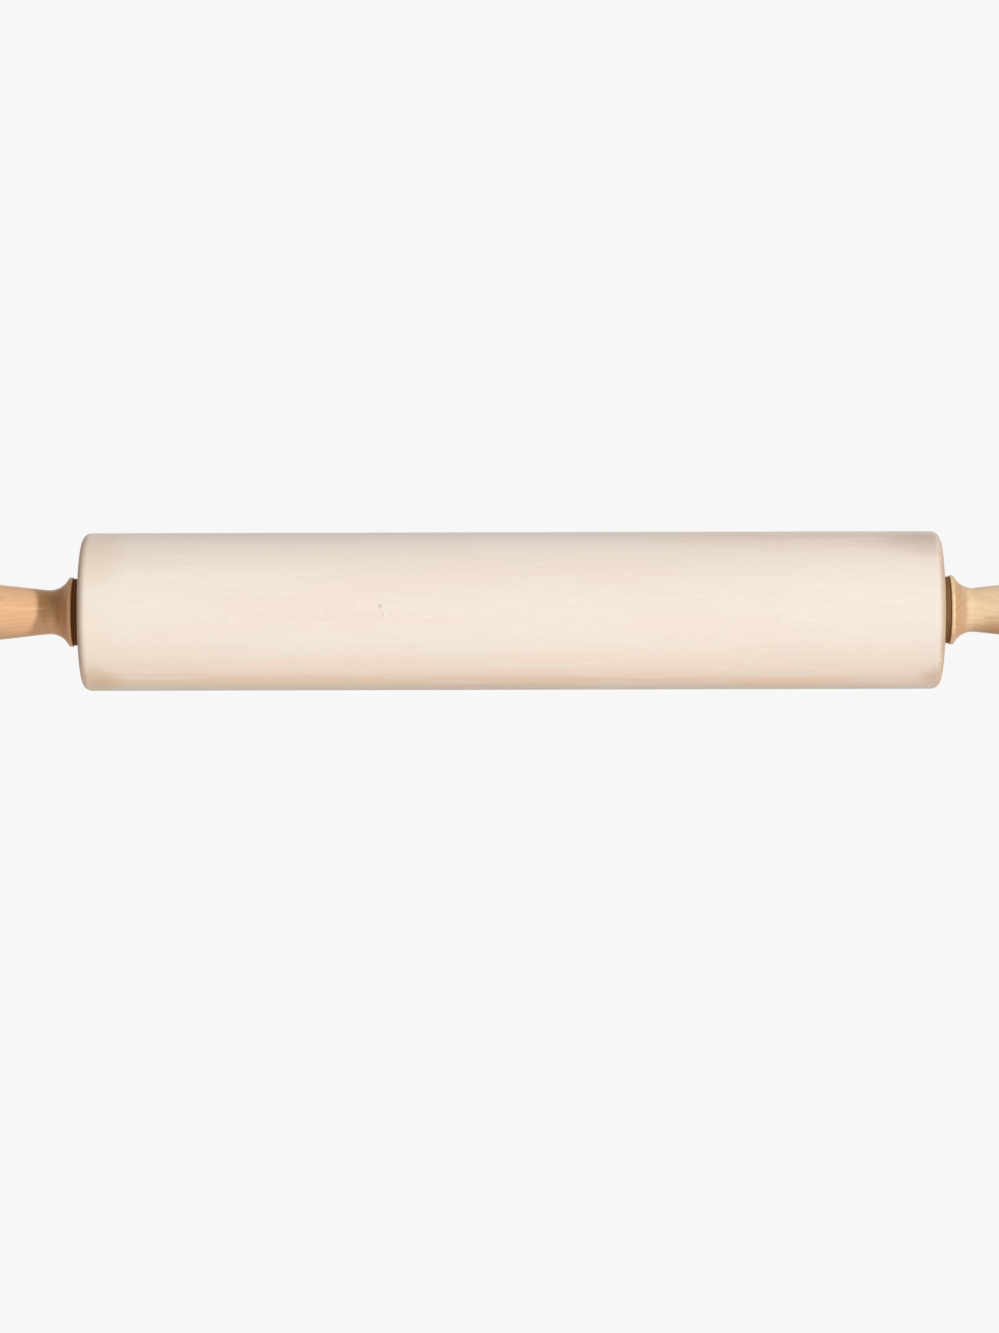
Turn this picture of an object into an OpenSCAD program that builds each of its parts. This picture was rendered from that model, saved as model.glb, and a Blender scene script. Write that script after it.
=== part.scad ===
// Ball-bearing rolling pin: a maple barrel that runs on two shielded ball
// bearings, on a steel rod that clamps a turned handle at each end.
// The rod lies along X, the barrel's middle is the origin, and Z is up.

/* [Barrel] */
// Diameter of the maple barrel
barrel_d = 70; // [60:0.5:90]
// Length of the barrel, from end face to end face
barrel_len = 380; // [250:1:460]
// Rounding of the barrel's end edges
barrel_edge_r = 4; // [1:0.1:9]
// Bore right through the barrel, wider than the rod
barrel_bore_d = 16; // [15.5:0.1:20]
// Chamfer at the mouth of each bearing seat
seat_chamfer = 0.6; // [0.2:0.1:1.2]

/* [Bearings] */
// Bore of the bearing's inner ring, and the rod's seat for it
bearing_bore_d = 10; // [9:0.5:11]
// Outside diameter of the bearing's outer ring
bearing_od = 26; // [25:0.5:28]
// Width of the bearing
bearing_w = 8; // [7.8:0.1:10]
// How far the bearing sits below the barrel's end face
bearing_recess = 1.5; // [1:0.1:3]
// Diameter of each ball
ball_d = 4.76; // [4:0.01:5]
// Balls in each bearing
ball_count = 7; // [5:1:8]
// Radial space between the lands of the two rings
land_gap = 3.8; // [3.4:0.1:4]
// Thickness of each shield's sheet
shield_t = 0.4; // [0.3:0.05:0.5]
// How far each shield sits below the ring's side face
shield_inset = 0.3; // [0.2:0.05:0.4]
// How far each shield reaches into the outer ring
shield_bite = 0.5; // [0.3:0.05:0.7]
// Wall of the ball cage between its inside and its outside
cage_t = 2; // [1.6:0.1:2.2]
// Back web of the cage, behind the ball pockets
cage_web = 0.5; // [0.4:0.05:0.6]
// How far the cage's claws reach past the balls' centres
cage_claw = 1.2; // [0.8:0.1:1.6]
// Chamfer on the outer ring's outside edges
ring_chamfer = 0.5; // [0.3:0.05:0.6]

/* [Rod] */
// Diameter of the rod between its two shoulders
rod_d = 12.5; // [12:0.1:13.5]
// Diameter of the rod's ends, which run through the handles
stud_d = 8; // [7:0.5:8.5]
// Chamfer at the rod's tips
rod_tip_chamfer = 1; // [0.5:0.1:1.5]
// Length of stud that stands out of each nut
stud_tail = 2; // [1:0.5:4]

/* [Collars] */
// Diameter of the dark collar between handle and barrel
collar_d = 29.6; // [24:0.1:30]
// Thickness of the collar
collar_t = 3.4; // [2:0.1:6]
// Rounding of the collar's rims
collar_edge_r = 0.5; // [0.2:0.1:0.9]
// Running gap between the collar and the barrel's end face
collar_gap = 0.8; // [0.4:0.1:2]
// Outside diameter of the steel spacer behind the collar
spacer_d = 13.6; // [13:0.1:14]

/* [Handles] */
// Length of a handle
handle_len = 112; // [100:1:140]
// Diameter of the flange next to the barrel
flange_d = 30.8; // [29:0.1:34]
// Rounding of the flange's inner rim
flange_inner_r = 0.5; // [0.3:0.1:1]
// Rounding of the flange's outer rim, where the cove begins
flange_outer_r = 1; // [0.5:0.1:1.4]
// Radius of the hollow cove behind the flange
cove_r = 9.5; // [8:0.1:10]
// Diameter of the neck
neck_d = 19.5; // [16:0.1:20]
// Distance from the flange's face to the neck
neck_at = 10.6; // [10:0.1:14]
// How late the grip swells: 1 swells at once, more stays thin for longer
grip_power = 1.15; // [1:0.05:1.6]
// Greatest diameter of the grip
grip_d = 27.4; // [26:0.1:32]
// Distance from the flange's face to the grip's greatest diameter
grip_at = 60; // [50:1:80]
// Diameter of the grip at its butt
butt_d = 25; // [23.5:0.1:26]
// Rounding of the butt's rim
butt_edge_r = 3; // [1:0.1:3.5]
// Diameter of the pocket in the butt, which takes the nut
pocket_d = 18; // [17.4:0.1:18.4]

/* [Fastenings] */
// Across the flats of the hexagon nut
nut_flats = 13; // [12:0.1:14]
// Thickness of the nut
nut_t = 6.5; // [5:0.1:8]
// Outside diameter of the flat washer
washer_d = 17; // [15:0.1:17.2]
// Thickness of the flat washer
washer_t = 1.6; // [1:0.1:2.5]
// Outside diameter of the split washer
split_washer_d = 14.2; // [13:0.1:15]
// Thickness of the split washer
split_washer_t = 2; // [1.5:0.1:2.5]
// Width of the split washer's cut
split_w = 1.2; // [0.6:0.1:2]
// Length of the wooden plug that closes the pocket
plug_len = 6; // [4:0.1:10]
// Crown of the plug's outer face
plug_crown = 1.2; // [0.5:0.1:2]
// Space between the stud's tip and the plug
plug_space = 0.8; // [0.5:0.1:2]

/* [Fits] */
// Radial clearance of what is pressed or pushed together
push_fit = 0.02; // [0.01:0.005:0.05]
// Radial clearance of the rod in the handles, washers and nuts
rod_fit = 0.2; // [0.1:0.05:0.3]
// Radial clearance of the nut's thread on the stud
thread_fit = 0.05; // [0.03:0.01:0.1]
// Clearance of the balls in their races
race_fit = 0.05; // [0.03:0.01:0.08]
// Clearance of the balls in the cage's pockets
pocket_fit = 0.12; // [0.08:0.01:0.15]
// Running clearance of the shields round the inner ring
shield_fit = 0.2; // [0.15:0.01:0.3]

/* [Hidden] */

$fn = 128;
ball_fn = 48;
LEFT = -1;
RIGHT = 1;

// Places along the rod, measured outwards from the barrel's end face
bearing_outer_face = -bearing_recess;
bearing_inner_face = bearing_outer_face - bearing_w;
bearing_middle = bearing_outer_face - bearing_w / 2;
collar_face = collar_gap;
handle_face = collar_face + collar_t;
butt_face = handle_face + handle_len;

// The nut stack, measured outwards from the pocket's floor
stack_len = washer_t + split_washer_t + nut_t + stud_tail;
pocket_depth = stack_len + plug_space + plug_len;
pocket_floor = butt_face - pocket_depth;
split_washer_face = pocket_floor + washer_t;
nut_face = split_washer_face + split_washer_t;
stud_tip = pocket_floor + stack_len;
plug_face = butt_face - plug_len;

// Radii inside the bearing
pitch_r = (bearing_bore_d + bearing_od) / 4;
inner_land_r = pitch_r - land_gap / 2;
outer_land_r = pitch_r + land_gap / 2;
shield_seat_r = outer_land_r + shield_bite;
race_r = ball_d / 2 + race_fit;

// The step from the bearing seat to the stud lies inside the collar
seat_step_inset = 0.5;
// Extra length that makes a cut run clear of the face that it opens
over = 1;

// Steps in the outlines that are turned: a rounded rim, a long edge or
// crown, the handle's cove, and the swell of its grip
rim_steps = 6;
edge_steps = 12;
cove_steps = 14;
grip_steps = 28;

steel = "silver";
bright_steel = "gainsboro";
maple = [0.95, 0.905, 0.85];
honey_wood = [0.92, 0.75, 0.58];
brown_fibre = [0.26, 0.15, 0.09];
nylon = [0.85, 0.83, 0.76];

// Puts a piece that is drawn outwards from the barrel's end face, along +X,
// at the right or the left end
module at_end(side)
    mirror([side == LEFT ? 1 : 0, 0, 0])
        translate([barrel_len / 2, 0, 0])
            children();

// Turns an outline of [distance along X, radius] points about the X axis
module turned(outline)
    rotate([0, 90, 0])
        rotate_extrude()
            polygon([for (p = outline) [p.y, p.x]]);

// A round bar along X
module bar(from, to, r)
    translate([from, 0, 0])
        rotate([0, 90, 0])
            cylinder(r = r, h = to - from);

// A bar whose two rims have a chamfer
function chamfered_bar(from, to, r, c) = [
    [from, 0], [from, r - c], [from + c, r],
    [to - c, r], [to, r - c], [to, 0]
];

// A tube along X whose outer rims have a chamfer
module chamfered_tube(from, to, r_out, r_in, c)
    difference() {
        turned(chamfered_bar(from, to, r_out, c));
        bar(from - over, to + over, r_in);
    }

// Points on an arc, in [distance, radius], from angle a0 to angle a1
function arc(centre, r, a0, a1, steps) = [
    for (i = [0:steps])
        let (a = a0 + (a1 - a0) * i / steps)
        centre + r * [cos(a), sin(a)]
];

// Pieces that turn with the barrel

module barrel()
    color(maple)
        difference() {
            barrel_blank();
            bar(-barrel_len / 2 - over, barrel_len / 2 + over, barrel_bore_d / 2);
            for (side = [LEFT, RIGHT])
                at_end(side)
                    bearing_seat();
        }

// The turned outside of the barrel, with both end edges rounded
module barrel_blank() {
    r = barrel_d / 2;
    half = barrel_len / 2;
    e = barrel_edge_r;
    left_edge = arc([-half + e, r - e], e, 180, 90, edge_steps);
    right_edge = arc([half - e, r - e], e, 90, 0, edge_steps);
    turned(concat([[-half, 0]], left_edge, right_edge, [[half, 0]]));
}

// The counterbore that the outer ring is pressed into
module bearing_seat() {
    r = bearing_od / 2 + push_fit;
    bar(bearing_inner_face, over, r);
    turned([
        [-seat_chamfer, 0], [-seat_chamfer, r],
        [over, r + seat_chamfer + over], [over, 0]
    ]);
}

module outer_ring(side)
    color(steel)
        at_end(side)
            difference() {
                chamfered_tube(
                    bearing_inner_face, bearing_outer_face,
                    bearing_od / 2, outer_land_r, ring_chamfer
                );
                race_groove();
                for (face = [bearing_inner_face, bearing_outer_face])
                    bar(
                        face - shield_inset - shield_t,
                        face + shield_inset + shield_t,
                        shield_seat_r
                    );
            }

// The torus that the balls sweep, a little larger than the balls
module race_groove()
    translate([bearing_middle, 0, 0])
        rotate([0, 90, 0])
            rotate_extrude()
                translate([pitch_r, 0])
                    circle(r = race_r);

// A sheet-metal washer that sits in a step of the outer ring, its outer face
// at the given place
module shield(from)
    color(bright_steel)
        difference() {
            bar(from, from + shield_t, shield_seat_r - push_fit);
            bar(from - over, from + shield_t + over, inner_land_r + shield_fit);
        }

module outboard_shield(side)
    at_end(side)
        shield(bearing_outer_face - shield_inset - shield_t);

module inboard_shield(side)
    at_end(side)
        shield(bearing_inner_face + shield_inset);

// Balls and their cages

module each_ball()
    for (i = [0:ball_count - 1])
        rotate([i * 360 / ball_count, 0, 0])
            translate([bearing_middle, 0, pitch_r])
                children();

module bearing_balls(side)
    color(bright_steel)
        at_end(side)
            each_ball()
                sphere(d = ball_d, $fn = ball_fn);

// A crown cage: a ring whose pockets are open towards the barrel's middle
module ball_cage(side) {
    pocket_r = ball_d / 2 + pocket_fit;
    back = bearing_middle + pocket_r + cage_web;
    front = bearing_middle - cage_claw;
    color(nylon)
        at_end(side)
            difference() {
                bar(front, back, pitch_r + cage_t / 2);
                bar(front - over, back + over, pitch_r - cage_t / 2);
                each_ball()
                    sphere(r = pocket_r, $fn = ball_fn);
            }
}

// Pieces clamped on the rod

// A turned rod: shouldered for the bearings, then stepped down to a stud
// that runs through each handle
module rod() {
    half = barrel_len / 2;
    shoulder = half + bearing_inner_face;
    seat_end = half + handle_face - seat_step_inset;
    tip = half + stud_tip;
    right_half = [
        [shoulder, rod_d / 2],
        [shoulder, bearing_bore_d / 2 - push_fit],
        [seat_end, bearing_bore_d / 2 - push_fit],
        [seat_end, stud_d / 2],
        [tip - rod_tip_chamfer, stud_d / 2],
        [tip, stud_d / 2 - rod_tip_chamfer],
        [tip, 0]
    ];
    left_half = [
        for (i = [len(right_half) - 1:-1:0])
            [-right_half[i].x, right_half[i].y]
    ];
    color(steel)
        turned(concat(left_half, right_half));
}

module inner_ring(side)
    color(steel)
        at_end(side)
            difference() {
                bar(bearing_inner_face, bearing_outer_face, inner_land_r);
                bar(bearing_inner_face - over, over, bearing_bore_d / 2);
                race_groove();
            }

// The tube that carries the clamping load past the barrel's end face
module spacer(side)
    color(steel)
        at_end(side)
            difference() {
                bar(bearing_outer_face, collar_face, spacer_d / 2);
                bar(bearing_outer_face - over, collar_face + over, bearing_bore_d / 2);
            }

module thrust_collar(side) {
    r = collar_d / 2;
    e = collar_edge_r;
    color(brown_fibre)
        at_end(side)
            difference() {
                turned(concat(
                    [[collar_face, 0]],
                    arc([collar_face + e, r - e], e, 180, 90, rim_steps),
                    arc([handle_face - e, r - e], e, 90, 0, rim_steps),
                    [[handle_face, 0]]
                ));
                bar(collar_face - over, handle_face + over, bearing_bore_d / 2);
            }
}

// Handles

// Radius of the grip at a distance s from the flange's face. It swells from
// the neck to the grip's greatest diameter, then falls away to the butt.
function grip_r(s) = s < grip_at
    ? (neck_d + (grip_d - neck_d)
        * pow(sin(90 * (s - neck_at) / (grip_at - neck_at)), grip_power)) / 2
    : (grip_d - (grip_d - butt_d)
        * pow((s - grip_at) / (handle_len - grip_at), 2)) / 2;

// The whole outline of a handle, in [distance from its face, radius]
function handle_outline() =
    let (
        flange_r = flange_d / 2,
        cove_centre = [neck_at, neck_d / 2 + cove_r],
        rim_centre_y = flange_r - flange_outer_r,
        rim_to_cove = cove_r + flange_outer_r,
        rim_rise = cove_centre.y - rim_centre_y,
        rim_centre_x = neck_at - sqrt(pow(rim_to_cove, 2) - pow(rim_rise, 2)),
        rim_angle = asin(rim_rise / rim_to_cove),
        grip_end = handle_len - butt_edge_r,
        butt_r = grip_r(grip_end)
    )
    concat(
        [[0, 0]],
        arc([flange_inner_r, flange_r - flange_inner_r], flange_inner_r, 180, 90, rim_steps),
        arc([rim_centre_x, rim_centre_y], flange_outer_r, 90, rim_angle, rim_steps),
        arc(cove_centre, cove_r, 180 + rim_angle, 270, cove_steps),
        [for (i = [1:grip_steps - 1])
            let (s = neck_at + (grip_end - neck_at) * i / grip_steps)
            [s, grip_r(s)]],
        arc([grip_end, butt_r - butt_edge_r], butt_edge_r, 90, 0, edge_steps),
        [[handle_len, 0]]
    );

module handle(side)
    color(honey_wood)
        at_end(side)
            difference() {
                translate([handle_face, 0, 0])
                    turned(handle_outline());
                bar(handle_face - over, butt_face + over, stud_d / 2 + rod_fit);
                bar(pocket_floor, butt_face + over, pocket_d / 2);
            }

// Fastenings in the pocket of each butt

module flat_washer(side)
    color(bright_steel)
        at_end(side)
            difference() {
                bar(pocket_floor, split_washer_face, washer_d / 2);
                bar(pocket_floor - over, split_washer_face + over, stud_d / 2 + rod_fit);
            }

// Shown clamped flat, with its cut upwards
module split_washer(side)
    color(steel)
        at_end(side)
            difference() {
                bar(split_washer_face, nut_face, split_washer_d / 2);
                bar(split_washer_face - over, nut_face + over, stud_d / 2 + rod_fit);
                translate([split_washer_face - over, -split_w / 2, 0])
                    cube([split_washer_t + 2 * over, split_w, split_washer_d]);
            }

// A hexagon nut whose corners are chamfered on both faces
module nut(side) {
    corner_r = nut_flats / 2 / cos(30);
    chamfer = corner_r - nut_flats / 2;
    color(bright_steel)
        at_end(side)
            difference() {
                intersection() {
                    translate([nut_face, 0, 0])
                        rotate([0, 90, 0])
                            cylinder(r = corner_r, h = nut_t, $fn = 6);
                    turned([
                        [nut_face, 0], [nut_face, nut_flats / 2],
                        [nut_face + chamfer / 2, corner_r],
                        [nut_face + nut_t - chamfer / 2, corner_r],
                        [nut_face + nut_t, nut_flats / 2], [nut_face + nut_t, 0]
                    ]);
                }
                bar(nut_face - over, nut_face + nut_t + over, stud_d / 2 + thread_fit);
            }
}

// A wooden button with a crowned face, glued into the pocket
module end_plug(side) {
    r = pocket_d / 2 - push_fit;
    crown_r = (r * r + plug_crown * plug_crown) / (2 * plug_crown);
    half_angle = asin(r / crown_r);
    centre = [butt_face + plug_crown - crown_r, 0];
    crown = arc(centre, crown_r, half_angle, 0, edge_steps);
    color(honey_wood)
        at_end(side)
            turned(concat([[plug_face, 0], [plug_face, r]], crown));
}

barrel();
rod();
outer_ring(LEFT);  // outer_ring_left
outer_ring(RIGHT);  // outer_ring_right
inner_ring(LEFT);  // inner_ring_left
inner_ring(RIGHT);  // inner_ring_right
ball_cage(LEFT);  // ball_cage_left
ball_cage(RIGHT);  // ball_cage_right
bearing_balls(LEFT);  // bearing_balls_left
bearing_balls(RIGHT);  // bearing_balls_right
outboard_shield(LEFT);  // outboard_shield_left
outboard_shield(RIGHT);  // outboard_shield_right
inboard_shield(LEFT);  // inboard_shield_left
inboard_shield(RIGHT);  // inboard_shield_right
spacer(LEFT);  // spacer_left
spacer(RIGHT);  // spacer_right
thrust_collar(LEFT);  // thrust_collar_left
thrust_collar(RIGHT);  // thrust_collar_right
handle(LEFT);  // handle_left
handle(RIGHT);  // handle_right
flat_washer(LEFT);  // flat_washer_left
flat_washer(RIGHT);  // flat_washer_right
split_washer(LEFT);  // split_washer_left
split_washer(RIGHT);  // split_washer_right
nut(LEFT);  // nut_left
nut(RIGHT);  // nut_right
end_plug(LEFT);  // end_plug_left
end_plug(RIGHT);  // end_plug_right
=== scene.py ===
import math

import bmesh
import bpy
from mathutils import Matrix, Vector


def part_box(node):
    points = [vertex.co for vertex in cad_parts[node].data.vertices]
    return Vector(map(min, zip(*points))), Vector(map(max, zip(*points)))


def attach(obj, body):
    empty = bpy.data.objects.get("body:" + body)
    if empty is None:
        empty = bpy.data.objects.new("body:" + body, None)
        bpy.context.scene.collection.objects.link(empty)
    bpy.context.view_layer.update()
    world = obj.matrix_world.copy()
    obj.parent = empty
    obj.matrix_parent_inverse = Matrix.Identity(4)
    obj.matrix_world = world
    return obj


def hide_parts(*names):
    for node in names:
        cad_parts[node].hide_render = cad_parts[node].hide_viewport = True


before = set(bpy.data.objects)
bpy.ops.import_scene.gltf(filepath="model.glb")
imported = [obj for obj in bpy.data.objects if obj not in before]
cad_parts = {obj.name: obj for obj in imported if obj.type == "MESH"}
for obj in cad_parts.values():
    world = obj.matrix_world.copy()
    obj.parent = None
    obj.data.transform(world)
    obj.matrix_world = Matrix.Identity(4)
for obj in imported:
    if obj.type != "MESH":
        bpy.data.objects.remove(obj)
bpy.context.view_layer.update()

# The camera stands level with the pin's axis and square to the barrel. Its
# distance comes from how far the barrel's end rims bulge in the picture, and
# the pin is so long that its handles run out at both sides.
photo_width, photo_height = 999, 1333
barrel_middle_px = (511.3, 611.0)
barrel_half_height_px = 78.75
barrel_low, barrel_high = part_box("barrel")
barrel_radius = (barrel_high.z - barrel_low.z) / 2
radii_to_camera = 55
camera_distance = radii_to_camera * barrel_radius
camera_roll = math.radians(0.15)
focal_px = barrel_half_height_px * math.sqrt(camera_distance**2 - barrel_radius**2) / barrel_radius

camera_data = bpy.data.cameras.new("camera")
camera_data.sensor_width = 36
camera_data.lens = camera_data.sensor_width * focal_px / photo_height
camera_data.shift_x = (photo_width / 2 - barrel_middle_px[0]) / photo_height
camera_data.shift_y = (barrel_middle_px[1] - photo_height / 2) / photo_height
camera = bpy.data.objects.new("camera", camera_data)
camera.location = (0, -camera_distance, 0)
camera.rotation_euler = (math.pi / 2, camera_roll, 0)
bpy.context.scene.collection.objects.link(camera)
bpy.context.scene.camera = camera

# The rod is one bar of mild steel, turned to shoulders for the bearings and
# stepped down to a threaded stud at each end. Everything else hangs on it.
# Its fine turning marks are on the pin's other steel, nylon and fibre too.


def joined(tree, kind, label, inputs=None, **settings):
    """A node with its settings made, and its inputs set to values or joined to other sockets."""
    made = tree.nodes.new(kind)
    made.label = label
    for name, value in settings.items():
        setattr(made, name, value)
    for name, value in (inputs or {}).items():
        if isinstance(value, bpy.types.NodeSocket):
            tree.links.new(value, made.inputs[name])
        else:
            made.inputs[name].default_value = value
    return made


def maths(tree, operation, *values):
    """One step of arithmetic on sockets and numbers."""
    inputs = dict(enumerate(values))
    return joined(tree, "ShaderNodeMath", operation.lower(), inputs, operation=operation).outputs[0]


def vector_maths(tree, operation, *values):
    """One step of arithmetic on vectors, which makes a vector or a length."""
    inputs = dict(enumerate(values))
    made = joined(tree, "ShaderNodeVectorMath", operation.lower(), inputs, operation=operation)
    return made.outputs["Value" if operation == "LENGTH" else "Vector"]


def x_part(tree, vector):
    """How far a vector reaches along X."""
    return joined(tree, "ShaderNodeSeparateXYZ", "parts", {"Vector": vector}).outputs["X"]


def noise(tree, vector, label, stretch=None, scale=1.0, detail=2.0, roughness=0.5, output="Fac"):
    """Smooth noise round 0.5 at a place. It is drawn out where the factors of stretch are small."""
    if stretch:
        vector = vector_maths(tree, "MULTIPLY", vector, stretch)
    inputs = {"Vector": vector, "Scale": scale, "Detail": detail, "Roughness": roughness}
    return joined(tree, "ShaderNodeTexNoise", label, inputs).outputs[output]


def eased(tree, value, start, end, low=0.0, high=1.0):
    """A smooth change from low to high while value goes from start to end."""
    inputs = {"Value": value, "From Min": start, "From Max": end, "To Min": low, "To Max": high}
    made = joined(tree, "ShaderNodeMapRange", "ease", inputs, interpolation_type="SMOOTHSTEP")
    return made.outputs["Result"]


def blended(tree, share, first, second):
    """The first colour going over to the second as share goes from 0 to 1."""
    mix = joined(tree, "ShaderNodeMix", "blend", data_type="RGBA")
    colour_inputs = [socket for socket in mix.inputs if socket.type == "RGBA"]
    tree.links.new(share, mix.inputs[0])
    tree.links.new(first, colour_inputs[0])
    tree.links.new(second, colour_inputs[1])
    return next(socket for socket in mix.outputs if socket.type == "RGBA")


def new_group(name, inputs, outputs):
    """An empty node group with its sockets given by kind, and the sockets of its two end nodes."""
    group = bpy.data.node_groups.new(name, "ShaderNodeTree")
    for in_out, sockets in (("INPUT", inputs), ("OUTPUT", outputs)):
        for kind, labels in sockets.items():
            for label in labels:
                group.interface.new_socket(label, in_out=in_out, socket_type=f"NodeSocket{kind}")
    given = group.nodes.new("NodeGroupInput").outputs
    made = group.nodes.new("NodeGroupOutput").inputs
    return group, given, made


# Turning marks run round the axis on the outside and in rings on the faces,
# so they follow the distance along X plus the distance from X.
mm_per_m = (1000, 1000, 1000)
off_axis = (0, 1, 1)
turning_marks, given, made = new_group(
    "turning marks",
    {
        "Vector": ["Vector"],
        "Color": ["Clean", "Stained"],
        "Float": ["Marks per mm", "Roughness", "Spread"],
    },
    {"Color": ["Color"], "Float": ["Height", "Roughness"]},
)
tree = turning_marks
in_mm = vector_maths(tree, "MULTIPLY", given["Vector"], mm_per_m)
from_axis = vector_maths(tree, "LENGTH", vector_maths(tree, "MULTIPLY", in_mm, off_axis))
path = maths(tree, "ADD", x_part(tree, in_mm), from_axis)
place = maths(tree, "MULTIPLY", path, given["Marks per mm"])
spun = joined(tree, "ShaderNodeCombineXYZ", "place", {"X": place}).outputs["Vector"]
rings = noise(tree, spun, "rings", detail=3)
smears = noise(tree, in_mm, "smears", scale=0.35, detail=3)
stain = eased(tree, noise(tree, in_mm, "stain", scale=0.09, detail=4), 0.35, 0.7)
uneven = maths(tree, "SUBTRACT", maths(tree, "ADD", rings, smears), 1.0)
rougher = maths(tree, "MULTIPLY", uneven, given["Spread"])
tree.links.new(blended(tree, stain, given["Clean"], given["Stained"]), made["Color"])
tree.links.new(rings, made["Height"])
tree.links.new(maths(tree, "ADD", given["Roughness"], rougher), made["Roughness"])


def new_material(name):
    """A material, and the place on the piece that its pattern follows."""
    material = bpy.data.materials.new(name)
    material.use_nodes = True
    place = joined(material.node_tree, "ShaderNodeTexCoord", "place").outputs["Object"]
    return material, place


def patterned(material, pattern, inputs, depth):
    """Gives a material the colour, roughness and relief of a group, and returns its settings."""
    tree = material.node_tree
    settings = tree.nodes["Principled BSDF"].inputs
    group = joined(tree, "ShaderNodeGroup", pattern.name, inputs, node_tree=pattern).outputs
    relief = {"Height": group["Height"], "Distance": depth, "Strength": 1.0}
    normal = joined(tree, "ShaderNodeBump", "relief", relief).outputs["Normal"]
    tree.links.new(group["Color"], settings["Base Color"])
    tree.links.new(group["Roughness"], settings["Roughness"])
    tree.links.new(normal, settings["Normal"])
    return settings


stain_shade = 0.86


def turned_material(
    name, colour, roughness, metallic=1.0, gloss=0.5, spread=0.25, marks=6.0, depth=0.000004
):
    """A surface that keeps the marks of the lathe or the grinding wheel."""
    material, place = new_material(name)
    inputs = {
        "Vector": place,
        "Clean": (*colour, 1),
        "Stained": (*(stain_shade * part for part in colour), 1),
        "Marks per mm": marks,
        "Roughness": roughness,
        "Spread": spread,
    }
    settings = patterned(material, turning_marks, inputs, depth)
    settings["Metallic"].default_value = metallic
    settings["Specular IOR Level"].default_value = gloss
    return material


def dress(nodes, material):
    """Gives pieces that keep their own shape a finished surface."""
    for name in nodes:
        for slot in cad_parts[name].material_slots:
            slot.material = material


rod_steel = turned_material("turned rod steel", (0.5, 0.51, 0.52), 0.32)
dress(["rod"], rod_steel)

# Each bearing has an inner and an outer ring of hardened steel, ground to a
# fine finish. The inner rings sit on the rod, and the outer rings are pressed
# into the ends of the barrel.
ends = {"left": -1, "right": 1}


def both(*pieces):
    """The nodes of pieces that the pin has at both ends."""
    return [f"{piece}_{end}" for piece in pieces for end in ends]


ring_steel = turned_material("ground bearing steel", (0.62, 0.62, 0.63), 0.22, marks=9)
dress(both("inner_ring", "outer_ring"), ring_steel)

# Seven polished balls run between the rings of each bearing, held apart by a
# moulded nylon crown cage that snaps over them from one side.
ball_steel = turned_material(
    "polished ball steel", (0.72, 0.72, 0.73), 0.07, spread=0.04, depth=0.0000005
)
dress(both("bearing_balls"), ball_steel)
nylon = turned_material(
    "moulded nylon", (0.76, 0.71, 0.58), 0.45, metallic=0.0, spread=0.1, marks=1.5, depth=0.000006
)
dress(both("ball_cage"), nylon)

# Thin pressed steel shields close both sides of each bearing and keep flour
# out. They are sprung into a step of the outer ring.
shield_steel = turned_material("pressed shield steel", (0.66, 0.66, 0.68), 0.28, marks=4)
dress(both("outboard_shield", "inboard_shield"), shield_steel)

# A short steel tube at each end carries the clamping load from the collar to
# the inner ring, so the handles never touch the barrel.
dress(both("spacer"), rod_steel)

# The barrel is one piece of hard maple, turned true and sanded fine, with its
# end edges rounded over. Each end is bored out for a bearing, and a wider
# hole than the rod runs right through it.
barrel_length = barrel_high.x - barrel_low.x
barrel_sides = 192
end_x = barrel_length / 2
edge_radius = 0.004
edge_segments = 12
bearing_seat_radius = 0.01302
bearing_seat_depth = 0.0095
seat_chamfer = 0.0006
bore_radius = 0.008
smooth_below = math.radians(35)


def pick(piece, kind, test):
    """Selects the faces or edges in edit mode that pass a test."""
    bpy.ops.mesh.select_all(action="DESELECT")
    bpy.ops.mesh.select_mode(type="FACE" if kind == "faces" else "EDGE")
    mesh = bmesh.from_edit_mesh(piece.data)
    for item in getattr(mesh, kind):
        item.select_set(test(item))
    mesh.select_flush_mode()
    bmesh.update_edit_mesh(piece.data)


def on_end_face(edge, radius, plane_within=0.00001, radius_within=0.0001):
    """Whether an edge lies in the plane of an end of the barrel, this far from the axis."""
    return all(
        abs(corner.co.x - math.copysign(end_x, edge.verts[0].co.x)) < plane_within
        and abs(math.hypot(corner.co.y, corner.co.z) - radius) < radius_within
        for corner in edge.verts
    )


def is_end_disc(face, side, facing=0.99, quad_corners=4):
    """Whether a face is the many-sided disc that closes one end of a plain cylinder."""
    return face.normal.x * side > facing and len(face.verts) > quad_corners


def finish_mesh(merge_within):
    """Merges doubled corners, turns all faces outwards and smooths what isn't a sharp edge."""
    bpy.ops.mesh.select_all(action="SELECT")
    bpy.ops.mesh.remove_doubles(threshold=merge_within)
    bpy.ops.mesh.normals_make_consistent(inside=False)
    bpy.ops.object.mode_set(mode="OBJECT")
    bpy.ops.object.shade_smooth_by_angle(angle=smooth_below)


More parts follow.
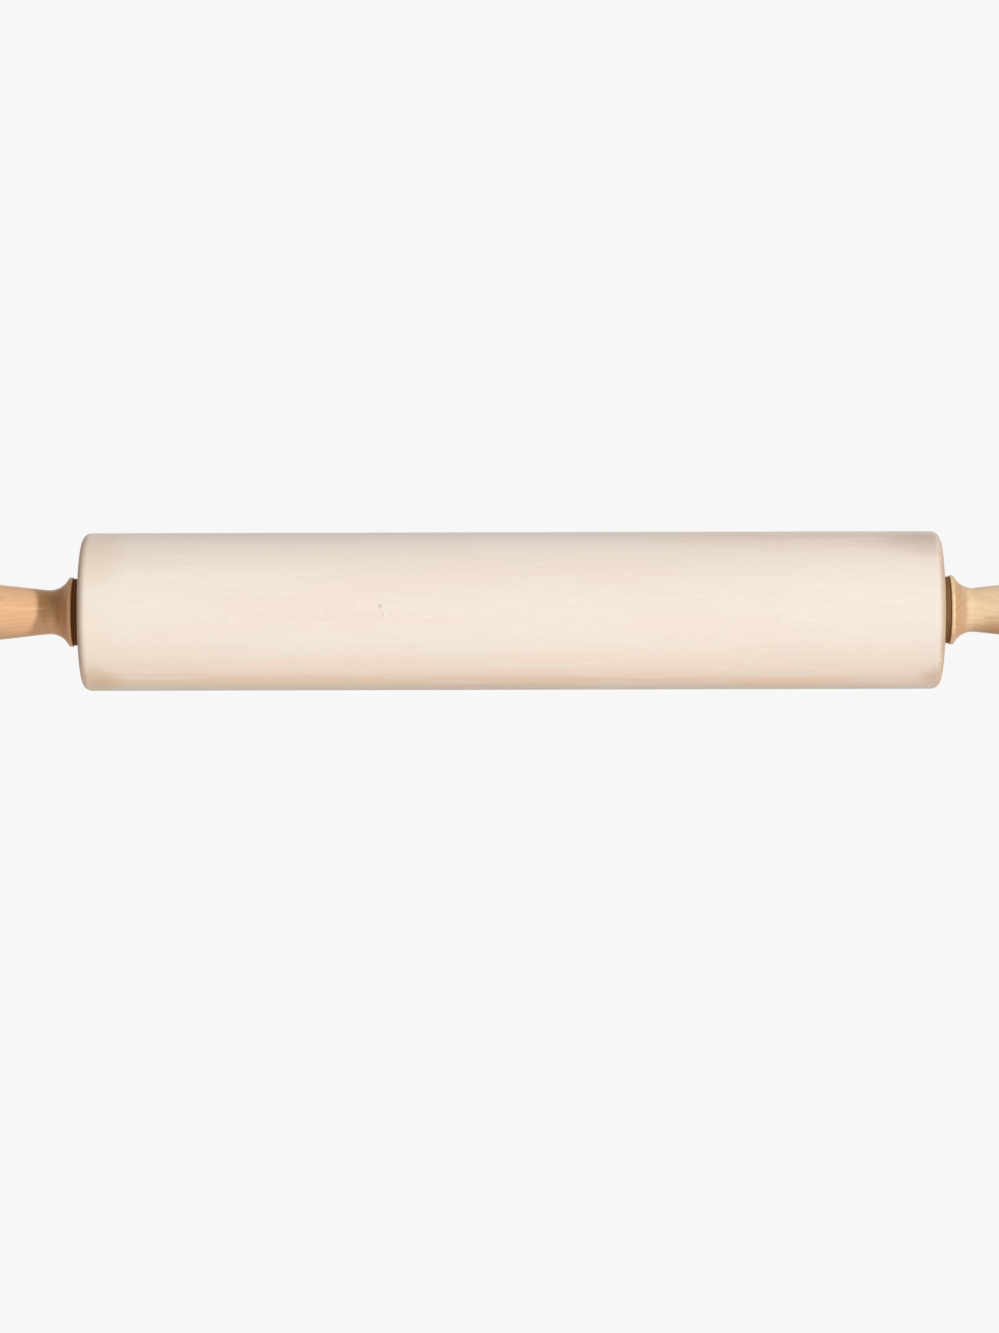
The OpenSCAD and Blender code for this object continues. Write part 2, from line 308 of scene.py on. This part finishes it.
bpy.ops.object.select_all(action="DESELECT")
bpy.ops.mesh.primitive_cylinder_add(
    vertices=barrel_sides,
    radius=barrel_radius,
    depth=barrel_length,
    rotation=(0, math.pi / 2, 0),
)
barrel = bpy.context.active_object
barrel.name = "maple_barrel"
bpy.ops.object.transform_apply(location=True, rotation=True, scale=True)
bpy.ops.object.mode_set(mode="EDIT")
pick(barrel, "edges", lambda edge: on_end_face(edge, barrel_radius))
bpy.ops.mesh.bevel(offset=edge_radius, segments=edge_segments, profile=0.5, affect="EDGES")
for side in ends.values():
    pick(barrel, "faces", lambda face: is_end_disc(face, side))
    bpy.ops.mesh.inset(thickness=barrel_radius - edge_radius - bearing_seat_radius)
    bpy.ops.mesh.extrude_region_move(
        TRANSFORM_OT_translate={"value": (-side * bearing_seat_depth, 0, 0)}
    )
    bpy.ops.mesh.inset(thickness=bearing_seat_radius - bore_radius)
    bpy.ops.mesh.delete(type="ONLY_FACE")
bpy.ops.mesh.select_all(action="DESELECT")
bpy.ops.mesh.select_mode(type="EDGE")
bpy.ops.mesh.select_non_manifold()
bpy.ops.mesh.bridge_edge_loops()
pick(barrel, "edges", lambda edge: on_end_face(edge, bearing_seat_radius))
bpy.ops.mesh.bevel(offset=seat_chamfer, segments=1, affect="EDGES")
finish_mesh(merge_within=0.000001)

# The grain of turned wood. The tree's heart runs along X, off to one side of
# the piece, so growth rings show as long lines on the outside and as arcs on
# the ends. Fibres, pores and ray flecks are all drawn out along the grain.
wood_grain, given, made = new_group(
    "wood grain",
    {
        "Vector": ["Vector", "Normal"],
        "Color": ["Pale", "Warm", "Late wood", "Pore", "Fleck", "End grain"],
        "Float": [
            "Rings per mm",
            "Ring share",
            "Fibre share",
            "Pore share",
            "Fleck share",
            "End rings",
            "Roughness",
        ],
    },
    {"Color": ["Color"], "Float": ["Height", "Roughness"]},
)
tree = wood_grain
in_mm = vector_maths(tree, "MULTIPLY", given["Vector"], mm_per_m)
sway = noise(tree, in_mm, "sway of the trunk", (0.006, 0.03, 0.03), output="Color")
sway_mm = (0, 9, 9)
bent = vector_maths(tree, "MULTIPLY_ADD", sway, sway_mm, in_mm)
from_heart = vector_maths(tree, "LENGTH", vector_maths(tree, "MULTIPLY", bent, off_axis))
year = maths(tree, "MULTIPLY", from_heart, given["Rings per mm"])
year_place = joined(tree, "ShaderNodeCombineXYZ", "year", {"X": year}).outputs["Vector"]
uneven_year = maths(tree, "ADD", year, noise(tree, year_place, "good and bad years", scale=0.6))
season = maths(tree, "FRACT", uneven_year)
darkening = eased(tree, season, 0.45, 0.93)
ending = eased(tree, season, 0.94, 1.0, 1.0, 0.0)
late = maths(tree, "MULTIPLY", darkening, ending)
fibres = noise(tree, bent, "fibres", (0.05, 2.6, 2.6), detail=5, roughness=0.62)
fine_fibres = noise(tree, bent, "fine fibres", (0.12, 7, 7), detail=3, roughness=0.6)
tone = eased(tree, noise(tree, bent, "tone", (0.008, 0.05, 0.05), detail=3), 0.3, 0.7)
patches = noise(tree, bent, "patches of flecks", (0.03, 0.14, 0.14))
dashes = noise(tree, bent, "dashes", (0.2, 2.7, 2.7), detail=1)
flecks = maths(tree, "MULTIPLY", eased(tree, dashes, 0.6, 0.7), eased(tree, patches, 0.4, 0.62))
specks = noise(tree, in_mm, "specks", (0.55, 2.3, 2.3), detail=1)
pores = maths(tree, "MULTIPLY", eased(tree, specks, 0.33, 0.24), eased(tree, patches, 0.66, 0.44))
cut_across = eased(tree, maths(tree, "ABSOLUTE", x_part(tree, given["Normal"])), 0.05, 0.8)
bolder_rings = maths(tree, "MULTIPLY_ADD", cut_across, given["End rings"], 1.0)
ring_share = maths(tree, "MULTIPLY", given["Ring share"], bolder_rings)
ring_lines = maths(tree, "MULTIPLY", late, ring_share)
strands = eased(tree, maths(tree, "ADD", fibres, fine_fibres), 0.8, 1.3)
fibre_lines = maths(tree, "MULTIPLY", strands, given["Fibre share"])
late_share = maths(tree, "ADD", ring_lines, fibre_lines)
fleck_share = maths(tree, "MULTIPLY", flecks, given["Fleck share"])
pore_share = maths(tree, "MULTIPLY", pores, given["Pore share"])
ground = blended(tree, tone, given["Pale"], given["Warm"])
lined = blended(tree, late_share, ground, given["Late wood"])
flecked = blended(tree, fleck_share, lined, given["Fleck"])
pored = blended(tree, pore_share, flecked, given["Pore"])
end_cut = vector_maths(tree, "MULTIPLY", pored, given["End grain"])
fibre_height = 0.5
pore_height = -0.8
roughness_swing = 0.25
raised = maths(tree, "MULTIPLY", fibres, fibre_height)
height = maths(tree, "MULTIPLY_ADD", pores, pore_height, raised)
swing = maths(tree, "SUBTRACT", fibres, 0.5)
rough = maths(tree, "MULTIPLY_ADD", swing, roughness_swing, given["Roughness"])
tree.links.new(blended(tree, cut_across, pored, end_cut), made["Color"])
tree.links.new(height, made["Height"])
tree.links.new(rough, made["Roughness"])


def wood_material(name, heart, turn, colours, shares, roughness, finish, depth):
    """Wood cut with the tree's heart at one side of it, and turned by some degrees about Z."""
    material, place = new_material(name)
    tree = material.node_tree
    cut = {"Vector": place, "Location": heart, "Rotation": (0, 0, math.radians(turn))}
    inputs = {
        "Vector": joined(tree, "ShaderNodeMapping", "cut from the plank", cut).outputs["Vector"],
        "Normal": joined(tree, "ShaderNodeNewGeometry", "surface").outputs["Normal"],
        "Roughness": roughness,
        **{socket: (*colour, 1) for socket, colour in colours.items()},
        **shares,
    }
    settings = patterned(material, wood_grain, inputs, depth)
    for socket, value in finish.items():
        settings[socket].default_value = value
    return material


# Patches and bands of another colour lie over the wood. Some show where the
# tree grew unevenly, others are painted shade. Each is full at its centre and
# fades out raggedly, its tongues break it up along the grain, and it stops
# where the wood is cut across the grain.
coloured_patch, given, made = new_group(
    "coloured patch",
    {
        "Vector": ["Vector", "Normal", "Centre", "Reach"],
        "Color": ["Under", "Over"],
        "Float": ["Fade start", "Fade end", "Share", "Tongues"],
    },
    {"Color": ["Color"]},
)
tree = coloured_patch
offset = vector_maths(tree, "SUBTRACT", given["Vector"], given["Centre"])
in_reaches = vector_maths(tree, "DIVIDE", offset, given["Reach"])
rim_noise = noise(tree, in_reaches, "ragged rim", scale=1.5)
ragged = maths(tree, "SUBTRACT", rim_noise, 0.5)
far = maths(tree, "ADD", vector_maths(tree, "LENGTH", in_reaches), ragged)
inside = eased(tree, far, given["Fade end"], given["Fade start"])
tongues = noise(tree, given["Vector"], "tongues", (20, 480, 480), detail=3, roughness=0.6)
gaps = eased(tree, tongues, 0.4, 0.56, -0.85, 0.0)
broken_up = maths(tree, "MULTIPLY_ADD", gaps, given["Tongues"], 1.0)
facing_x = maths(tree, "ABSOLUTE", x_part(tree, given["Normal"]))
on_side = eased(tree, facing_x, 0.5, 0.95, 1.0, 0.0)
covered = maths(tree, "MULTIPLY", inside, broken_up)
shown = maths(tree, "MULTIPLY", on_side, given["Share"])
mask = maths(tree, "MULTIPLY", covered, shown)
tree.links.new(blended(tree, mask, given["Under"], given["Over"]), made["Color"])


def overlaid(material, patches):
    """Lays patches of other colours over a wood's own, one after the other."""
    tree = material.node_tree
    base = tree.nodes["Principled BSDF"].inputs["Base Color"]
    place = joined(tree, "ShaderNodeTexCoord", "place").outputs["Object"]
    normal = joined(tree, "ShaderNodeNewGeometry", "surface").outputs["Normal"]
    for label, (centre, reach, fade, colour, share, tongues) in patches.items():
        inputs = {
            "Vector": place,
            "Normal": normal,
            "Centre": centre,
            "Reach": reach,
            "Under": base.links[0].from_socket,
            "Over": (*colour, 1),
            "Fade start": fade[0],
            "Fade end": fade[1],
            "Share": share,
            "Tongues": tongues,
        }
        patch = joined(tree, "ShaderNodeGroup", label, inputs, node_tree=coloured_patch)
        tree.links.new(patch.outputs["Color"], base)


barrel_maple = wood_material(
    "sanded maple",
    heart=(0.02, 0.07, 0.012),
    turn=0.6,
    colours={
        "Pale": (0.893, 0.83, 0.727),
        "Warm": (0.892, 0.776, 0.683),
        "Late wood": (0.78, 0.6, 0.48),
        "Pore": (0.62, 0.5, 0.4),
        "Fleck": (0.99, 0.93, 0.79),
        "End grain": (0.63, 0.515, 0.425),
    },
    shares={
        "Rings per mm": 0.3,
        "Ring share": 0.06,
        "Fibre share": 0.12,
        "Pore share": 0.35,
        "Fleck share": 0.55,
        "End rings": 5,
    },
    roughness=0.6,
    finish={"Specular IOR Level": 0.25},
    depth=0.00001,
)
# Warm bands run along the barrel, its left corners are browner, the two
# corners at its right end are darkened as painted shade, and a pin knot with a
# healed scar sits left of the middle. Each patch has a centre, a reach, where
# it starts and ends fading, a colour, a share and how far tongues break it up.
soft = (0.1, 1.1)
crisp = (0.4, 1.1)
barrel_patches = {
    "mauve band": ((0.09, -0.015, 0.033), (0.4, 0.02, 0.018), soft, (0.94, 0.79, 0.72), 0.8, 1),
    "pink band": (
        (-0.02, -0.025, -0.0245), (0.5, 0.012, 0.009), soft, (0.92, 0.745, 0.65), 0.8, 1
    ),
    "tan band": (
        (-0.12, -0.0175, -0.0303), (0.34, 0.009, 0.005), (0.3, 1), (0.88, 0.675, 0.51), 0.8, 1
    ),
    "low band": (
        (0.11, -0.0165, -0.0308), (0.3, 0.009, 0.006), (0.2, 1.1), (0.89, 0.68, 0.54), 0.75, 1
    ),
    "brown band": ((0.13, -0.014, 0.0325), (0.11, 0.012, 0.007), soft, (0.86, 0.69, 0.56), 0.8, 1),
    "warm end": ((-0.198, -0.02, 0), (0.036, 0.05, 0.06), soft, (0.885, 0.75, 0.635), 0.7, 0),
    "tan corner": (
        (-0.181, -0.018, -0.0295), (0.013, 0.013, 0.01), soft, (0.77, 0.57, 0.4), 0.75, 0
    ),
    "yellow corner": (
        (-0.186, -0.021, 0.026), (0.022, 0.022, 0.02), soft, (0.82, 0.67, 0.54), 0.7, 0
    ),
    # Painted shade: the corners at the right end are darkened against the main lamp's light on
    # them.
    "painted shade low corner": (
        (0.1905, -0.0175, -0.0305), (0.013, 0.014, 0.01), soft, (0.68, 0.5, 0.37), 0.75, 0
    ),
    "painted shade high corner": (
        (0.187, -0.016, 0.031), (0.034, 0.016, 0.012), soft, (0.7, 0.555, 0.485), 0.9, 0
    ),
    "knot": ((-0.0573, -0.035, 0.0023), (0.0013, 0.004, 0.0011), crisp, (0.68, 0.6, 0.51), 0.85, 0),
    "scar": ((-0.0561, -0.035, -0.0016), (0.0006, 0.004, 0.0015), crisp, (0.8, 0.68, 0.56), 1, 0),
    "healed": (
        (-0.0551, -0.035, -0.0017), (0.0008, 0.004, 0.0013), crisp, (0.94, 0.88, 0.74), 0.7, 0
    ),
}
overlaid(barrel_maple, barrel_patches)
barrel.data.materials.append(barrel_maple)
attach(barrel, "barrel")
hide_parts("barrel")

# A dark brown fibre collar stands between each handle and the barrel, turned
# from bar and pressed against the spacer, so that it runs just clear of the
# barrel's end. Both are the same fibre; the left one is coloured darker as
# painted shade, for the shadow that the barrel casts on it.
collar_thickness = 0.0034
collar_radius = 0.0148
collar_edge = 0.0005
journal_radius = 0.005
collar_gap = 0.0008
turned_sides = 128
button_sides = 96


def arc(centre, radius, start, end, steps):
    """Points on an arc, as (distance along X, distance from X), between two angles in degrees."""
    points = []
    for step in range(steps + 1):
        angle = math.radians(start + (end - start) * step / steps)
        points.append((centre[0] + radius * math.cos(angle), centre[1] + radius * math.sin(angle)))
    return points


def turned(name, outline, side, closed):
    """Turns an outline about X by drawing a circle out from point to point.

    A closed outline makes a ring. An open one starts as a disc and ends near the axis.
    """
    first_x, first_radius = outline[0]
    bpy.ops.object.select_all(action="DESELECT")
    bpy.ops.mesh.primitive_circle_add(
        vertices=turned_sides if closed else button_sides,
        radius=first_radius,
        fill_type="NOTHING" if closed else "NGON",
        location=(side * first_x, 0, 0),
        rotation=(0, math.pi / 2, 0),
    )
    piece = bpy.context.active_object
    piece.name = name
    bpy.ops.object.transform_apply(location=True, rotation=True, scale=True)
    bpy.ops.object.mode_set(mode="EDIT")
    bpy.ops.mesh.select_mode(type="VERT" if closed else "FACE")
    bpy.ops.mesh.select_all(action="SELECT")
    stops = outline[1:] + outline[:1] if closed else outline[1:]
    for (x, radius), (next_x, next_radius) in zip(outline, stops):
        bpy.ops.mesh.extrude_region_move(
            TRANSFORM_OT_translate={"value": (side * (next_x - x), 0, 0)}
        )
        growth = next_radius / radius
        bpy.ops.transform.resize(
            value=(1, growth, growth), center_override=(side * next_x, 0, 0)
        )
    finish_mesh(merge_within=0.000002)
    return piece


collar_inner = end_x + collar_gap
collar_outer = collar_inner + collar_thickness
rim = collar_radius - collar_edge
collar_outline = (
    [(collar_inner, journal_radius)]
    + arc((collar_inner + collar_edge, rim), collar_edge, 180, 90, steps=6)
    + arc((collar_outer - collar_edge, rim), collar_edge, 90, 0, steps=6)
    + [(collar_outer, journal_radius)]
)
# The left collar's darker colour is painted shade, the right one's is the fibre as lit.
fibre_colours_shaded_left = {"left": (0.16, 0.052, 0.014), "right": (0.225, 0.115, 0.048)}
for end, side in ends.items():
    collar_fibre = turned_material(
        f"brown fibre {end}",
        fibre_colours_shaded_left[end],
        0.8,
        metallic=0.0,
        gloss=0.15,
        spread=0.2,
        marks=3,
        depth=0.00001,
    )
    collar = turned(f"brown_collar_{end}", collar_outline, side, closed=True)
    collar.data.materials.append(collar_fibre)
    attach(collar, "handles_and_rod")
    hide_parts(f"thrust_collar_{end}")

# The handles are turned hardwood under clear lacquer: a flange, a hollow
# cove, a waisted neck and a long swelling grip. Each is bored for the stud,
# with a pocket in its butt for the washers and the nut.
handle_length = 0.112
flange_radius = 0.0154
flange_inner_edge = 0.0005
flange_outer_edge = 0.001
cove_radius = 0.0095
neck_radius = 0.00975
neck_at = 0.0106
grip_radius = 0.0137
grip_at = 0.06
grip_power = 1.15
grip_steps = 48
butt_radius = 0.0125
butt_edge = 0.003
pocket_radius = 0.009
pocket_depth = 0.0189
stud_hole_radius = 0.0042


def grip_profile(along):
    """How thick the grip is, at a distance from the flange's face."""
    if along < grip_at:
        swell = math.sin(math.pi / 2 * (along - neck_at) / (grip_at - neck_at)) ** grip_power
        return neck_radius + (grip_radius - neck_radius) * swell
    fall = ((along - grip_at) / (handle_length - grip_at)) ** 2
    return grip_radius - (grip_radius - butt_radius) * fall


cove_centre = (neck_at, neck_radius + cove_radius)
rim_radius = flange_radius - flange_outer_edge
rim_rise = cove_centre[1] - rim_radius
rim_to_cove = cove_radius + flange_outer_edge
rim_at = neck_at - math.sqrt(rim_to_cove**2 - rim_rise**2)
rim_angle = math.degrees(math.asin(rim_rise / rim_to_cove))
inner_rim = (flange_inner_edge, flange_radius - flange_inner_edge)
handle_outline = (
    arc(inner_rim, flange_inner_edge, 180, 90, steps=6)
    + arc((rim_at, rim_radius), flange_outer_edge, 90, rim_angle, steps=8)
    + arc(cove_centre, cove_radius, 180 + rim_angle, 270, steps=16)[1:]
)
grip_end = handle_length - butt_edge
for step in range(1, grip_steps):
    along = neck_at + (grip_end - neck_at) * step / grip_steps
    handle_outline.append((along, grip_profile(along)))
handle_outline += arc((grip_end, grip_profile(grip_end) - butt_edge), butt_edge, 90, 0, steps=10)
handle_outline += [
    (handle_length, pocket_radius),
    (handle_length - pocket_depth, pocket_radius),
    (handle_length - pocket_depth, stud_hole_radius),
    (0, stud_hole_radius),
]
handle_outline = [(collar_outer + along, radius) for along, radius in handle_outline]
handle_end = (0.68, 0.54, 0.42)
handle_colours = {
    "left": {
        "Pale": (0.835, 0.53, 0.305),
        "Warm": (0.79, 0.45, 0.245),
        "Late wood": (0.62, 0.3, 0.13),
        "Pore": (0.36, 0.15, 0.06),
        "Fleck": (0.9, 0.62, 0.38),
        "End grain": handle_end,
    },
    "right": {
        "Pale": (0.9, 0.73, 0.51),
        "Warm": (0.88, 0.67, 0.44),
        "Late wood": (0.66, 0.4, 0.2),
        "Pore": (0.4, 0.2, 0.09),
        "Fleck": (0.92, 0.76, 0.54),
        "End grain": handle_end,
    },
}
handle_shares = {
    "Rings per mm": 0.45,
    "Ring share": 0.2,
    "Fibre share": 0.2,
    "Pore share": 0.3,
    "Fleck share": 0.2,
    "End rings": 1,
}
handle_cuts = {
    "left": {"heart": (0.03, 0.03, -0.024), "turn": 1.2},
    "right": {"heart": (0.01, -0.026, 0.03), "turn": -1.0},
}
lacquered = {
    "roughness": 0.5,
    "finish": {"Specular IOR Level": 0.08, "Coat Weight": 0.25, "Coat Roughness": 0.15},
    "depth": 0.000012,
}
# The left handle has painted shade in the hollow by its flange, where the
# barrel's shadow falls, with a darker painted edge to that shadow, and
# painted shade on its underside. The right one has painted shade along its
# lower front, with a red fleck above it.
handle_patches = {
    "left": {
        # Painted shade: deepens the barrel's shadow in the hollow, and darkens its edge.
        "painted neck shade": (
            (-0.2014, -0.009, 0.004), (0.007, 0.012, 0.012), soft, (0.34, 0.145, 0.04), 0.78, 0
        ),
        "painted shadow edge": (
            (-0.2067, -0.009, 0.004), (0.0037, 0.011, 0.013), soft, (0.56, 0.27, 0.08), 0.75, 0
        ),
        # Painted shade on the underside.
        "low shade": (
            (-0.235, -0.002, -0.0135), (0.035, 0.03, 0.009), soft, (0.5, 0.34, 0.17), 0.6, 0
        ),
    },
    "right": {
        # Painted shade along the lower front, where the light falls off.
        "painted low shade": (
            (0.224, -0.002, -0.0122), (0.03, 0.03, 0.012), soft, (0.44, 0.19, 0.06), 0.85, 0
        ),
        "cove figure": (
            (0.1995, -0.0095, 0), (0.0031, 0.014, 0.016), soft, (0.54, 0.34, 0.22), 0.85, 0
        ),
        "red fleck": (
            (0.2115, -0.0095, -0.0038), (0.0035, 0.003, 0.0009), crisp, (0.72, 0.4, 0.24), 0.6, 0
        ),
    },
}
for end, side in ends.items():
    handle_wood = wood_material(
        f"lacquered wood {end}",
        colours=handle_colours[end],
        shares=handle_shares,
        **handle_cuts[end],
        **lacquered,
    )
    overlaid(handle_wood, handle_patches[end])
    handle = turned(f"turned_handle_{end}", handle_outline, side, closed=True)
    handle.data.materials.append(handle_wood)
    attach(handle, "handles_and_rod")
    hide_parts(f"handle_{end}")

# Under each plug a flat washer, a split washer and a hexagon nut clamp the
# handle, the collar and the bearing against the rod's shoulder. All are
# zinc-plated steel.
zinc = turned_material("zinc plate", (0.6, 0.63, 0.67), 0.3, spread=0.3, marks=2)
dress(both("flat_washer", "split_washer", "nut"), zinc)

# A turned wooden button closes the pocket in each butt. It is glued in with
# its grain across the handle's, and its outer face is slightly crowned.
plug_length = 0.006
plug_crown = 0.0012
plug_radius = 0.00898
crown_radius = (plug_radius**2 + plug_crown**2) / (2 * plug_crown)
crown_starts = math.degrees(math.asin(plug_radius / crown_radius))
crown_ends = 2
butt_x = collar_outer + handle_length
crown_centre = (butt_x + plug_crown - crown_radius, 0)
plug_outline = [(butt_x - plug_length, plug_radius)]
plug_outline += arc(crown_centre, crown_radius, crown_starts, crown_ends, steps=14)
plug_cuts = {
    "left": {"heart": (0.0, 0.02, 0.03), "turn": 88},
    "right": {"heart": (0.0, -0.02, 0.028), "turn": 93},
}
plug_shares = handle_shares | {
    "Rings per mm": 0.6,
    "Ring share": 0.3,
    "Fibre share": 0.3,
    "End rings": 0,
}
for end, side in ends.items():
    plug_wood = wood_material(
        f"lacquered button {end}",
        colours=handle_colours[end] | {"End grain": (1, 1, 1)},
        shares=plug_shares,
        **plug_cuts[end],
        **lacquered,
    )
    plug = turned(f"butt_plug_{end}", plug_outline, side, closed=False)
    plug.data.materials.append(plug_wood)
    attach(plug, "handles_and_rod")
    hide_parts(f"end_plug_{end}")

# The pin lies on a plain pale table that runs into a background of the same
# colour. Most of the table's brightness is its own, as on a lit table, so
# the shadow stays soft.
floor_size = 12
paint_colour = (0.9, 0.9, 0.9, 1)
floor_own_share = 0.9
floor_own_colour = (0.975, 0.975, 0.975, 1)
table_glow_share = 0.23


def seen_directly(tree):
    """1 for what the camera, a gleam or clear glass looks at, 0 for light that falls on pieces."""
    rays = joined(tree, "ShaderNodeLightPath", "rays").outputs
    mirrored = maths(tree, "MAXIMUM", rays["Is Glossy Ray"], rays["Is Transmission Ray"])
    return maths(tree, "MAXIMUM", rays["Is Camera Ray"], mirrored)


def mixed(tree, share, first, second):
    """The first shader going over to the second as share goes from 0 to 1."""
    inputs = {0: share, 1: first.outputs[0], 2: second.outputs[0]}
    return joined(tree, "ShaderNodeMixShader", "mix", inputs).outputs[0]


bpy.ops.object.select_all(action="DESELECT")
bpy.ops.mesh.primitive_plane_add(size=floor_size, location=(0, 0, barrel_low.z))
floor = bpy.context.active_object
floor.name = "floor"
floor_paint = bpy.data.materials.new("pale floor")
floor_paint.use_nodes = True
tree = floor_paint.node_tree
tree.nodes.clear()
matt = joined(tree, "ShaderNodeBsdfDiffuse", "matt paint", {"Color": paint_colour})
own = {"Color": floor_own_colour, "Strength": 1.0}
glow = joined(tree, "ShaderNodeEmission", "own brightness", own)
more_when_seen = floor_own_share - table_glow_share
share = maths(tree, "MULTIPLY_ADD", seen_directly(tree), more_when_seen, table_glow_share)
surface = {"Surface": mixed(tree, share, matt, glow)}
joined(tree, "ShaderNodeOutputMaterial", "out", surface)
floor.data.materials.append(floor_paint)

# The room is an even pale tent, brighter above and a little brighter in front
# and at the right. The main lamp stands in front to the right, a weaker one by
# the camera puts the soft gleam on the lacquer, and one lights the back.
backdrop_colour = (0.93, 0.93, 0.93, 1)
tent_colour = (1, 1, 1, 1)
tent_level = 0.15
more_above = 0.33
more_in_front = 0.05
more_at_right = 0.06
lamp_colour = (1, 0.985, 0.96)
lamps = {
    "key lamp": {"azimuth": 42, "elevation": 11, "energy": 2.03, "spread": 3.5, "gleams": False},
    "front lamp": {"azimuth": 8, "elevation": 19, "energy": 0.26, "spread": 12, "gleams": True},
    "back lamp": {"azimuth": 196, "elevation": 10, "energy": 1.6, "spread": 15, "gleams": False},
}

world = bpy.data.worlds.new("tent")
bpy.context.scene.world = world
world.use_nodes = True
tree = world.node_tree
tree.nodes.clear()
place = joined(tree, "ShaderNodeTexCoord", "place").outputs["Generated"]
towards = joined(tree, "ShaderNodeSeparateXYZ", "direction", {"Vector": place}).outputs
above = maths(tree, "MULTIPLY_ADD", towards["Z"], more_above, tent_level)
in_front = maths(tree, "MULTIPLY", towards["Y"], -more_in_front)
around = maths(tree, "MULTIPLY_ADD", towards["X"], more_at_right, in_front)
level = maths(tree, "ADD", above, around)
tent_light = {"Color": tent_colour, "Strength": level}
tent = joined(tree, "ShaderNodeBackground", "tent light", tent_light)
backdrop_light = {"Color": backdrop_colour, "Strength": 1.0}
backdrop = joined(tree, "ShaderNodeBackground", "backdrop", backdrop_light)
surface = {"Surface": mixed(tree, seen_directly(tree), tent, backdrop)}
joined(tree, "ShaderNodeOutputWorld", "out", surface)

for name, lamp in lamps.items():
    light = bpy.data.lights.new(name, "SUN")
    light.energy = lamp["energy"]
    light.angle = math.radians(lamp["spread"])
    light.color = lamp_colour
    lamp_object = bpy.data.objects.new(name, light)
    lamp_object.visible_glossy = lamp["gleams"]
    turned_by, raised_by = math.radians(lamp["azimuth"]), math.radians(lamp["elevation"])
    level_reach = math.cos(raised_by)
    from_x, from_y = math.sin(turned_by) * level_reach, -math.cos(turned_by) * level_reach
    shines_from = Vector((from_x, from_y, math.sin(raised_by)))
    lamp_object.rotation_euler = shines_from.to_track_quat("Z", "Y").to_euler()
    bpy.context.scene.collection.objects.link(lamp_object)
bpy.context.scene.view_settings.view_transform = "Standard"
